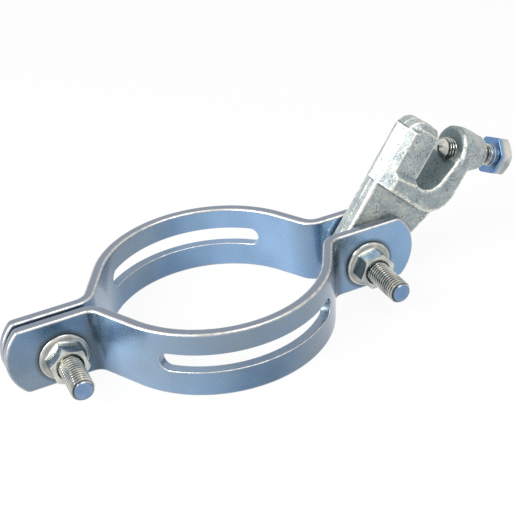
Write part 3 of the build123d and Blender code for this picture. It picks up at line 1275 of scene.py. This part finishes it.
@dataclass
class FlangeNut:
    """Flange nut, turned about Z with its bearing face at zero."""

    name: str
    body: str
    side: int
    seat: float
    turn: float
    hexagon: Hexagon = field(default_factory=lambda: Hexagon(15.0))
    thread: Thread = field(default_factory=Thread)
    height: float = 9.6
    flange_diameter: float = 21.4
    flange_rim: float = 1.3
    flange_rise: float = 0.35
    flange_edge: float = 0.25
    hollow_reach: float = 9.6
    # Painted shade in the nut's hollow.
    hollow_shade: float = 0.35
    bore_clearance: float = 0.05
    foot_bevel: tuple[float, float] = (0.5, 0.4)
    countersink: tuple[float, float] = (0.6, 0.8)
    # Painted shade at the foot, in the countersink and in the bore.
    foot_shade: float = 0.5
    countersink_shade: float = 0.4
    bore_shade: float = 0.6
    bore_insets: tuple[float, float] = (0.8, 1.2)
    bore_rows: int = 8
    edge_hold: float = 0.12
    crown_edge: float = 0.15
    sharp_deg: float = 30.0
    columns: int = 180

    def shell(self) -> Shell:
        """Rows round the nut's section: flange, hollow, flats, chamfer, crown, countersink and bore.

        The hollow is a quarter circle from the flange's top up into the flats; at each angle its size h is
        what lies between the hexagon and the hollow's reach: radius = hexagon + h (1 - sin a),
        height = foot + h (1 - cos a), with a from 0 to 90 degrees.

        Returns:
            The closed ring.
        """
        rows = TurnedRows(self.columns)
        corner, crown = self.hexagon.radius(rows.angle), self.hexagon.crown
        flange, bore = self.flange_diameter / 2, self.thread.diameter / 2 + self.bore_clearance
        bevel, bevel_height = self.foot_bevel
        sink, sink_depth = self.countersink
        rows.add(bore, bevel_height, self.foot_shade)
        rows.add(bore + bevel, 0.0)
        rows.add(flange - self.flange_edge, 0.0)
        rows.add(flange, self.flange_edge)
        half_rim = self.flange_rim / 2
        for turn in np.linspace(0, np.pi / 2, 6):
            rows.add(flange - half_rim * (1 - math.cos(turn)), half_rim + half_rim * math.sin(turn))
        foot = self.flange_rim + self.flange_rise
        hollow = self.hollow_reach - corner
        for turn in np.linspace(0, np.pi / 2, 8):
            rows.add(corner + hollow * (1 - math.sin(turn)), foot + hollow * (1 - math.cos(turn)),
                     self.hollow_shade * math.cos(turn))
        rows.add(corner, self.height - self.hexagon.drop(corner) - self.edge_hold)
        for share in (0.95, 0.5, 0.12):
            radius = crown + (corner - crown) * share
            rows.add(radius, self.height - self.hexagon.drop(radius))
        rows.add(crown - self.crown_edge, self.height)
        rows.add(bore + sink + self.crown_edge, self.height)
        rows.add(bore + sink, self.height - 0.08)
        rows.add(bore, self.height - sink_depth, self.countersink_shade)
        low, high = self.bore_insets
        for height in np.linspace(self.height - high, low, self.bore_rows):
            rows.add(bore, height, self.bore_shade)
        radii, heights, root_shades = rows.stacked()
        return turned_shell(radii, heights, {"root": root_shades}, closed_loop=True)

    def build(self, finish: bpy.types.Material) -> None:
        """Make the nut on its bolt and dress it.

        Args:
            finish: its material.
        """
        shell = place_along_y(self.shell(), self.side * BOLT_SPREAD, -self.seat, -BOLT_DROP, self.turn)
        piece = shell.to_object(f"{self.name}_turned", self.sharp_deg)
        dress(piece, self.name, self.body, finish)


@dataclass
class ClampFrame:
    """Directions of the beam clamp: across and up its lug, and the set screw's axis."""

    lug_deg: float = 54.0
    screw_crossing: float = 60.3
    screw_tilt_deg: float = 13.1
    boss_start: float = 17.4

    @property
    def origin(self) -> Array:
        """Place of the lug's bolt."""
        return np.array([BOLT_SPREAD, 0, -BOLT_DROP])

    @property
    def axes(self) -> Array:
        """Directions of the lug.

        Returns:
            Across it, up it and forward, one row each.
        """
        angle = math.radians(self.lug_deg)
        return np.array([[math.sin(angle), 0, -math.cos(angle)], [math.cos(angle), 0, math.sin(angle)],
                         [0, -1.0, 0]])

    def to_world(self, local: Array) -> Array:
        """Turn (across, up, forward) places into the row's frame."""
        return self.origin + local @ self.axes

    def to_local(self, world: Array) -> Array:
        """Turn places in the row's frame into (across, up, forward)."""
        return (world - self.origin) @ self.axes.T

    def along_screw(self, local: Array) -> tuple[Array, Array]:
        """Where places lie along and around the set screw.

        Args:
            local: (across, up, forward) places, in millimetres.

        Returns:
            Distances along its axis from the boss's inner end, and away from that axis.
        """
        tilt = math.radians(self.screw_tilt_deg)
        across, up = local[:, 0] - self.boss_start, local[:, 1] - self.screw_crossing
        aside = up * math.cos(tilt) - across * math.sin(tilt)
        return across * math.cos(tilt) + up * math.sin(tilt), np.hypot(aside, local[:, 2])

    def screw_to_world(self, points: Array, turn_deg: float) -> Array:
        """Lay places turned about Z onto the set screw's axis, with zero at the boss's inner end.

        Args:
            points: n by 3 places about Z.
            turn_deg: turn about the screw's own axis first.

        Returns:
            The places in the row's frame.
        """
        tilt = math.radians(self.screw_tilt_deg)
        outward, first = np.array([math.cos(tilt), math.sin(tilt), 0]), np.array([0, 0, 1.0])
        axes = np.stack([first, np.cross(outward, first), outward])
        start = np.array([self.boss_start, self.screw_crossing, 0])
        return self.to_world(start + np.stack(turned_about_z(points, turn_deg), axis=1) @ axes)


@dataclass
class SetScrew:
    """Cone-point set screw with a hexagon head, turned about Z with its point lowest."""

    frame: ClampFrame = field(default_factory=ClampFrame)
    thread: Thread = field(default_factory=Thread)
    hexagon: Hexagon = field(default_factory=lambda: Hexagon(16.5, 0.5))
    length: float = 30.5
    point_radius: float = 1.2
    point_edge: float = 0.1
    cone_start: float = 0.4
    head_height: float = 7.0
    boss_length: float = 16.5
    standoff: float = 7.0
    turn: float = -16.0
    plain_neck: float = 1.5
    fillet: float = 0.3
    underside_edge: float = 0.25
    underside_inset: float = 0.2
    blue_start: float = 1.1
    blue_limit: float = 0.95
    blue_height: float = 2.6
    edge_hold: float = 0.15
    run_out: float = 0.2
    sharp_deg: float = 32.0
    rows_per_turn: int = 10
    columns: int = 96

    def shell(self) -> Shell:
        """Rows from the point up its cone and thread to the neck, the head's underside, flats and crown.

        Returns:
            The closed shell.
        """
        rows = TurnedRows(self.columns)
        corner, crown = self.hexagon.radius(rows.angle), self.hexagon.crown
        shank, top = self.thread.diameter / 2, self.length + self.head_height
        end = self.length - self.plain_neck
        rows.add(POLE_RING, 0.0)
        rows.add(self.point_radius * 0.8, 0.0)
        rows.add(self.point_radius + self.point_edge, self.edge_hold)
        count = int(end / self.thread.pitch * self.rows_per_turn)
        for height in np.linspace(self.cone_start, end, count):
            radius, root = self.thread.row(height, rows.angle, end - height)
            cone = self.point_radius + height
            rows.add(np.minimum(radius, cone), height, root * (radius < cone))
        rows.add(shank, end + self.run_out)
        rows.add(shank, self.length - self.fillet)
        rows.add(shank + self.fillet, self.length)
        rows.add(corner - self.underside_inset, self.length)
        for share in (0.0, 0.2, 0.4, 0.6, 0.8):
            rows.add(corner, self.length + self.underside_edge + share * (self.head_height - 1.0))
        rows.add(corner, top - self.hexagon.drop(corner) - self.edge_hold)
        for share in (0.9, 0.4):
            radius = crown + (corner - crown) * share
            rows.add(radius, top - self.hexagon.drop(radius))
        for share in (0.99, 0.96, 0.5, 0.01):
            rows.add(crown * share, top)
        radii, heights, root_shades = rows.stacked()
        above = heights - self.length
        tip = (above >= 0) * np.clip(self.blue_start - above / self.blue_height, 0, self.blue_limit)
        return turned_shell(radii, heights, {"root": root_shades, "tip": tip})

    def build(self, finish: bpy.types.Material) -> None:
        """Make the screw in its boss and dress it.

        Args:
            finish: its material.
        """
        shell = self.shell()
        start = self.boss_length + self.standoff - self.length
        shell.points = self.frame.screw_to_world(shell.points + (0, 0, start), self.turn)
        piece = shell.to_object("set_screw_threaded", self.sharp_deg)
        dress(piece, "set_screw", "screw", finish)


# The casting


@dataclass
class BeamClampCasting:
    """The cast beam clamp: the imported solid's shape with cast edges, a parting ridge and a rough skin.

    Lengths are in millimetres. A swing, cell and seed stand together for each octave of unevenness and
    for how the ridge's height changes. The marks' starts and spans are values of the skin's bending.
    """

    frame: ClampFrame = field(default_factory=ClampFrame)
    voxel: float = 0.42
    smooth_passes: int = 2
    ridge_height: float = 0.35
    ridge_width: float = 0.55
    ridge_from_bolt: float = 7.0
    ridge_side: float = 0.6
    ridge_fade: float = 0.3
    ridge_swing: tuple[float, float, int] = (0.4, 3.0, 5)
    throat_span: tuple[float, float] = (2.0, 17.0)
    throat_root: float = 38.0
    bolt_bore_reach: float = 5.9
    screw_bore_reach: float = 5.8
    screw_bore_start: float = -5.0
    unevenness: tuple[tuple[float, float, int], ...] = ((0.07, 2.6, 1), (0.04, 1.1, 2))
    pit_depth: float = 0.22
    pit_cell: float = 1.6
    pit_start: float = 0.62
    pit_span: float = 0.2
    convex_start: float = 0.018
    convex_span: float = 0.05
    hollow_span: float = 0.16
    # Painted shade on the throat's sideways faces.
    throat_shade: float = 0.75

    def remeshed(self) -> bpy.types.Object:
        """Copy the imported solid, merge it and rebuild it in even quads.

        Returns:
            The new object.
        """
        mesh = bpy.data.objects["beam_clamp"].data.copy()
        shaper = bmesh.new()
        shaper.from_mesh(mesh)
        bmesh.ops.remove_doubles(shaper, verts=shaper.verts, dist=1e-6)
        shaper.to_mesh(mesh)
        shaper.free()
        piece = add_object("beam_clamp_casting", mesh)
        remesh = piece.modifiers.new("remesh", "REMESH")
        remesh.mode, remesh.voxel_size = "VOXEL", self.voxel * MM
        smooth = piece.modifiers.new("smooth", "SMOOTH")
        smooth.factor, smooth.iterations = 0.5, self.smooth_passes
        graph = bpy.context.evaluated_depsgraph_get()
        rebuilt = bpy.data.meshes.new_from_object(piece.evaluated_get(graph))
        piece.modifiers.clear()
        piece.data = rebuilt
        return piece

    def zones(self, local: Array) -> tuple[Array, Array, Array]:
        """Which points lie on machined faces, in the throat, and where the parting ridge is left.

        Args:
            local: (across, up, forward) places, in millimetres.

        Returns:
            The three selections.
        """
        from_bolt = np.hypot(local[:, 0], local[:, 1])
        along, from_screw = self.frame.along_screw(local)
        bored = (from_screw < self.screw_bore_reach) & (along > self.screw_bore_start)
        low, high = self.throat_span
        throat = (local[:, 0] > low) & (local[:, 0] < high) & (local[:, 1] > self.throat_root)
        machined = bored | (from_bolt < self.bolt_bore_reach)
        return machined, throat, (from_bolt > self.ridge_from_bolt) & ~throat

    def roughen(self, piece: bpy.types.Object) -> None:
        """Move the skin along its normals and mark it for the finish.

        The parting ridge is a bell of the distance from the mid plane, on faces that look away from the
        front and back; the unevenness is two octaves of smooth noise and a few small pits. The mark
        convex grows on edges that stand out, for wear and a painted highlight, and hollow, for painted
        shade, in corners and in the throat.

        Args:
            piece: the casting.
        """
        mesh = piece.data
        places, normals = np.empty(len(mesh.vertices) * 3), np.empty(len(mesh.vertices) * 3)
        mesh.vertices.foreach_get("co", places)
        mesh.vertices.foreach_get("normal", normals)
        places, normals = places.reshape(-1, 3) / MM, normals.reshape(-1, 3)
        local = self.frame.to_local(places)
        machined, throat, ridged = self.zones(local)
        sideways = 1 - np.abs(normals[:, 1])
        swing, cell, seed = self.ridge_swing
        ridge = self.ridge_height * np.exp(-((local[:, 2] / self.ridge_width) ** 2)) * ridged
        ridge *= np.clip((sideways - self.ridge_side) / self.ridge_fade, 0, 1)
        ridge *= 1 - swing + swing * value_noise(places, cell, seed)
        skin = sum(swing * value_noise(places, cell, seed) for swing, cell, seed in self.unevenness)
        pitted = (value_noise(places, self.pit_cell, 3) - self.pit_start) / self.pit_span
        lift = np.where(machined, 0.0, ridge + skin - self.pit_depth * np.clip(pitted, 0, 1))
        places = places + normals * lift[:, None]
        mesh.vertices.foreach_set("co", (places * MM).reshape(-1))
        mesh.polygons.foreach_set("use_smooth", np.ones(len(mesh.polygons), bool))
        mesh.update()
        bend = self.bending(mesh, places, normals)
        # hollow: painted shade in concave corners and on the throat's sides
        hollow = np.clip(-bend / self.hollow_span, 0, 1) + throat * (sideways > 0.5) * self.throat_shade
        write_marks(mesh, {"convex": np.clip((bend - self.convex_start) / self.convex_span, 0, 1),
                           "hollow": np.clip(hollow, 0, 1)})

    def bending(self, mesh: bpy.types.Mesh, places: Array, normals: Array) -> Array:
        """How strongly the skin bends at each vertex: above zero on edges that stand out, below in hollows.

        For every edge from i to j the slope n_i . (p_i - p_j) / |p_i - p_j| goes to i, and likewise to j;
        a vertex takes the mean of its edges, and the result is averaged twice over the neighbours.

        Args:
            mesh: the casting's mesh.
            places: its vertices, in millimetres.
            normals: its normals.

        Returns:
            One value for each vertex.
        """
        ends = np.empty(len(mesh.edges) * 2, np.int64)
        mesh.edges.foreach_get("vertices", ends)
        first, second = ends.reshape(-1, 2).T
        step = places[first] - places[second]
        step /= np.linalg.norm(step, axis=1, keepdims=True) + 1e-9
        count = len(places)
        joined = np.bincount(first, minlength=count) + np.bincount(second, minlength=count)
        slope = np.bincount(first, (normals[first] * step).sum(axis=1), count) - np.bincount(
            second, (normals[second] * step).sum(axis=1), count)
        value = slope / np.maximum(joined, 1)
        for _ in range(2):
            around = np.bincount(first, value[second], count) + np.bincount(second, value[first], count)
            value = 0.5 * value + 0.5 * around / np.maximum(joined, 1)
        return value

    def build(self, finish: bpy.types.Material) -> None:
        """Make the casting and dress it.

        Args:
            finish: its material.
        """
        piece = self.remeshed()
        self.roughen(piece)
        dress(piece, "beam_clamp", "swivel", finish)


# Studio


def towards(azimuth_deg: float, elevation_deg: float) -> Vector:
    """Direction out from the object; azimuth 0 is in front of it and grows to the right."""
    turn, lift = math.radians(azimuth_deg), math.radians(elevation_deg)
    return Vector((math.sin(turn) * math.cos(lift), -math.cos(turn) * math.cos(lift), math.sin(lift)))


@dataclass
class Lamp:
    """A square softbox that faces the object."""

    name: str
    azimuth_deg: float
    elevation_deg: float
    distance: float
    size: float
    power: float
    colour: Triple

    def build(self) -> None:
        """Make the lamp."""
        place = self.distance * towards(self.azimuth_deg, self.elevation_deg)
        data = bpy.data.lights.new(self.name, "AREA")
        data.size, data.energy, data.color = self.size, self.power, self.colour
        lamp = add_object(self.name, data)
        lamp.location = place
        lamp.rotation_euler = (-place).to_track_quat("-Z", "Y").to_euler()


@dataclass
class Studio:
    """Camera, lamps, world and floor.

    The camera's place and lens reproduce the photograph's view of a 515 by 515 image.
    """

    azimuth_deg: float = -23.57
    elevation_deg: float = 30.47
    roll_deg: float = -4.81
    camera_place: Triple = (-0.137174, -0.392597, 0.271504)
    sensor_width: float = 36.0
    image_size: float = 515.0
    focal_pixels: float = 1147.54
    centre_x: float = 282.50
    centre_y: float = 232.52
    ambient: Triple = (0.80, 0.86, 0.95)
    ambient_strength: float = 0.35
    floor_level: float = -0.015
    floor_reach: float = 6.0
    floor_colour: Triple = (0.88, 0.89, 0.90)
    floor_glow: float = 0.93
    lamps: tuple[Lamp, ...] = (
        Lamp("left_softbox", -78.0, 38.0, 1.0, 0.6, 10.5, (1.0, 0.98, 0.94)),
        Lamp("low_left_softbox", -95.0, 8.0, 1.1, 0.5, 4.0, (0.94, 0.97, 1.0)),
        Lamp("overhead_softbox", 25.0, 62.0, 1.1, 0.7, 4.5, (1.0, 0.97, 0.92)),
    )

    def camera(self) -> None:
        """Make the camera and set it as the scene's own."""
        data = bpy.data.cameras.new("camera")
        data.sensor_width = self.sensor_width
        data.lens = self.focal_pixels / self.image_size * self.sensor_width
        data.shift_x = (self.image_size / 2 - self.centre_x) / self.image_size
        data.shift_y = (self.centre_y - self.image_size / 2) / self.image_size
        data.clip_start, data.clip_end = 0.01, 20.0
        turn, roll = math.radians(self.azimuth_deg), math.radians(self.roll_deg)
        back = towards(self.azimuth_deg, self.elevation_deg)
        right = Vector((math.cos(turn), math.sin(turn), 0.0))
        up = back.cross(right)
        rolled_right = right * math.cos(roll) + up * math.sin(roll)
        rolled_up = up * math.cos(roll) - right * math.sin(roll)
        matrix = Matrix((rolled_right, rolled_up, back)).transposed().to_4x4()
        matrix.translation = Vector(self.camera_place)
        camera = add_object("camera", data)
        camera.matrix_world = matrix
        bpy.context.scene.camera = camera

    def seen(self, bench: NodeBench) -> Socket:
        """Tell the rays that see the backdrop from those that only light the object.

        Args:
            bench: the bench of the world or the floor.

        Returns:
            1 for camera, glossy and transmission rays, 0 for the rest.
        """
        path = bench.add("ShaderNodeLightPath").outputs
        mirrored = bench.math("MAXIMUM", path["Is Camera Ray"], path["Is Glossy Ray"])
        return bench.math("MAXIMUM", mirrored, path["Is Transmission Ray"])

    def world(self) -> None:
        """Make the world: white as a background and in reflections, softer as a light."""
        bench = NodeBench.start(bpy.data.worlds.new("studio"))
        bpy.context.scene.world = bench.owner
        ambient = bench.nodes["Background"]
        bench.fill(ambient, {"Color": (*self.ambient, 1.0), "Strength": self.ambient_strength})
        white = bench.add("ShaderNodeBackground", {"Color": (1.0, 1.0, 1.0, 1.0)})
        mix = bench.add("ShaderNodeMixShader", {0: self.seen(bench), 1: ambient.outputs[0],
                                                2: white.outputs[0]})
        bench.put(bench.nodes["World Output"].inputs["Surface"], mix.outputs[0])

    def floor(self) -> None:
        """Make the pale floor under the object."""
        bench = NodeBench.start(bpy.data.materials.new("floor"))
        surface = bench.nodes["Principled BSDF"]
        bench.fill(surface, {"Base Color": (*self.floor_colour, 1.0), "Roughness": 0.95,
                             "Specular IOR Level": 0.0})
        glow = bench.add("ShaderNodeEmission", {"Strength": 1.0})
        share = bench.math("MULTIPLY", self.seen(bench), self.floor_glow)
        mix = bench.add("ShaderNodeMixShader", {0: share, 1: surface.outputs[0], 2: glow.outputs[0]})
        bench.put(bench.nodes["Material Output"].inputs["Surface"], mix.outputs[0])
        mesh = bpy.data.meshes.new("floor")
        corners = [(x * self.floor_reach, y * self.floor_reach, self.floor_level)
                   for x, y in ((-1, -1), (1, -1), (1, 1), (-1, 1))]
        mesh.from_pydata(corners, [], [(0, 1, 2, 3)])
        mesh.materials.append(bench.owner)
        add_object("floor", mesh)

    def build(self) -> None:
        """Make the camera, the lamps, the world and the floor, and set the plain view transform."""
        bpy.context.scene.view_settings.view_transform = "Standard"
        self.camera()
        self.world()
        self.floor()
        for lamp in self.lamps:
            lamp.build()
        LOG.info("studio: %d lamps", len(self.lamps))


def main() -> None:
    """Build the whole scene in order."""
    logging.basicConfig(level=logging.INFO)
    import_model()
    Studio().build()
    strip, hardware, cast = ZincStrip().material(), ZincHardware().material(), CastZinc().material()
    for front in (False, True):
        HalfBand().build(front, strip)
    Bolt("left_bolt", side=-1, seat=5.65, length=38.0, thread_length=30.0).build(hardware)
    Bolt("right_bolt", side=1, seat=10.5, length=50.0, thread_length=32.0).build(hardware)
    FlangeNut("left_flange_nut", "left_nut", side=-1, seat=5.65, turn=-17.0).build(hardware)
    FlangeNut("right_flange_nut", "right_nut", side=1, seat=10.5, turn=8.0).build(hardware)
    SetScrew().build(hardware)
    BeamClampCasting().build(cast)


if __name__ == "__main__":
    main()
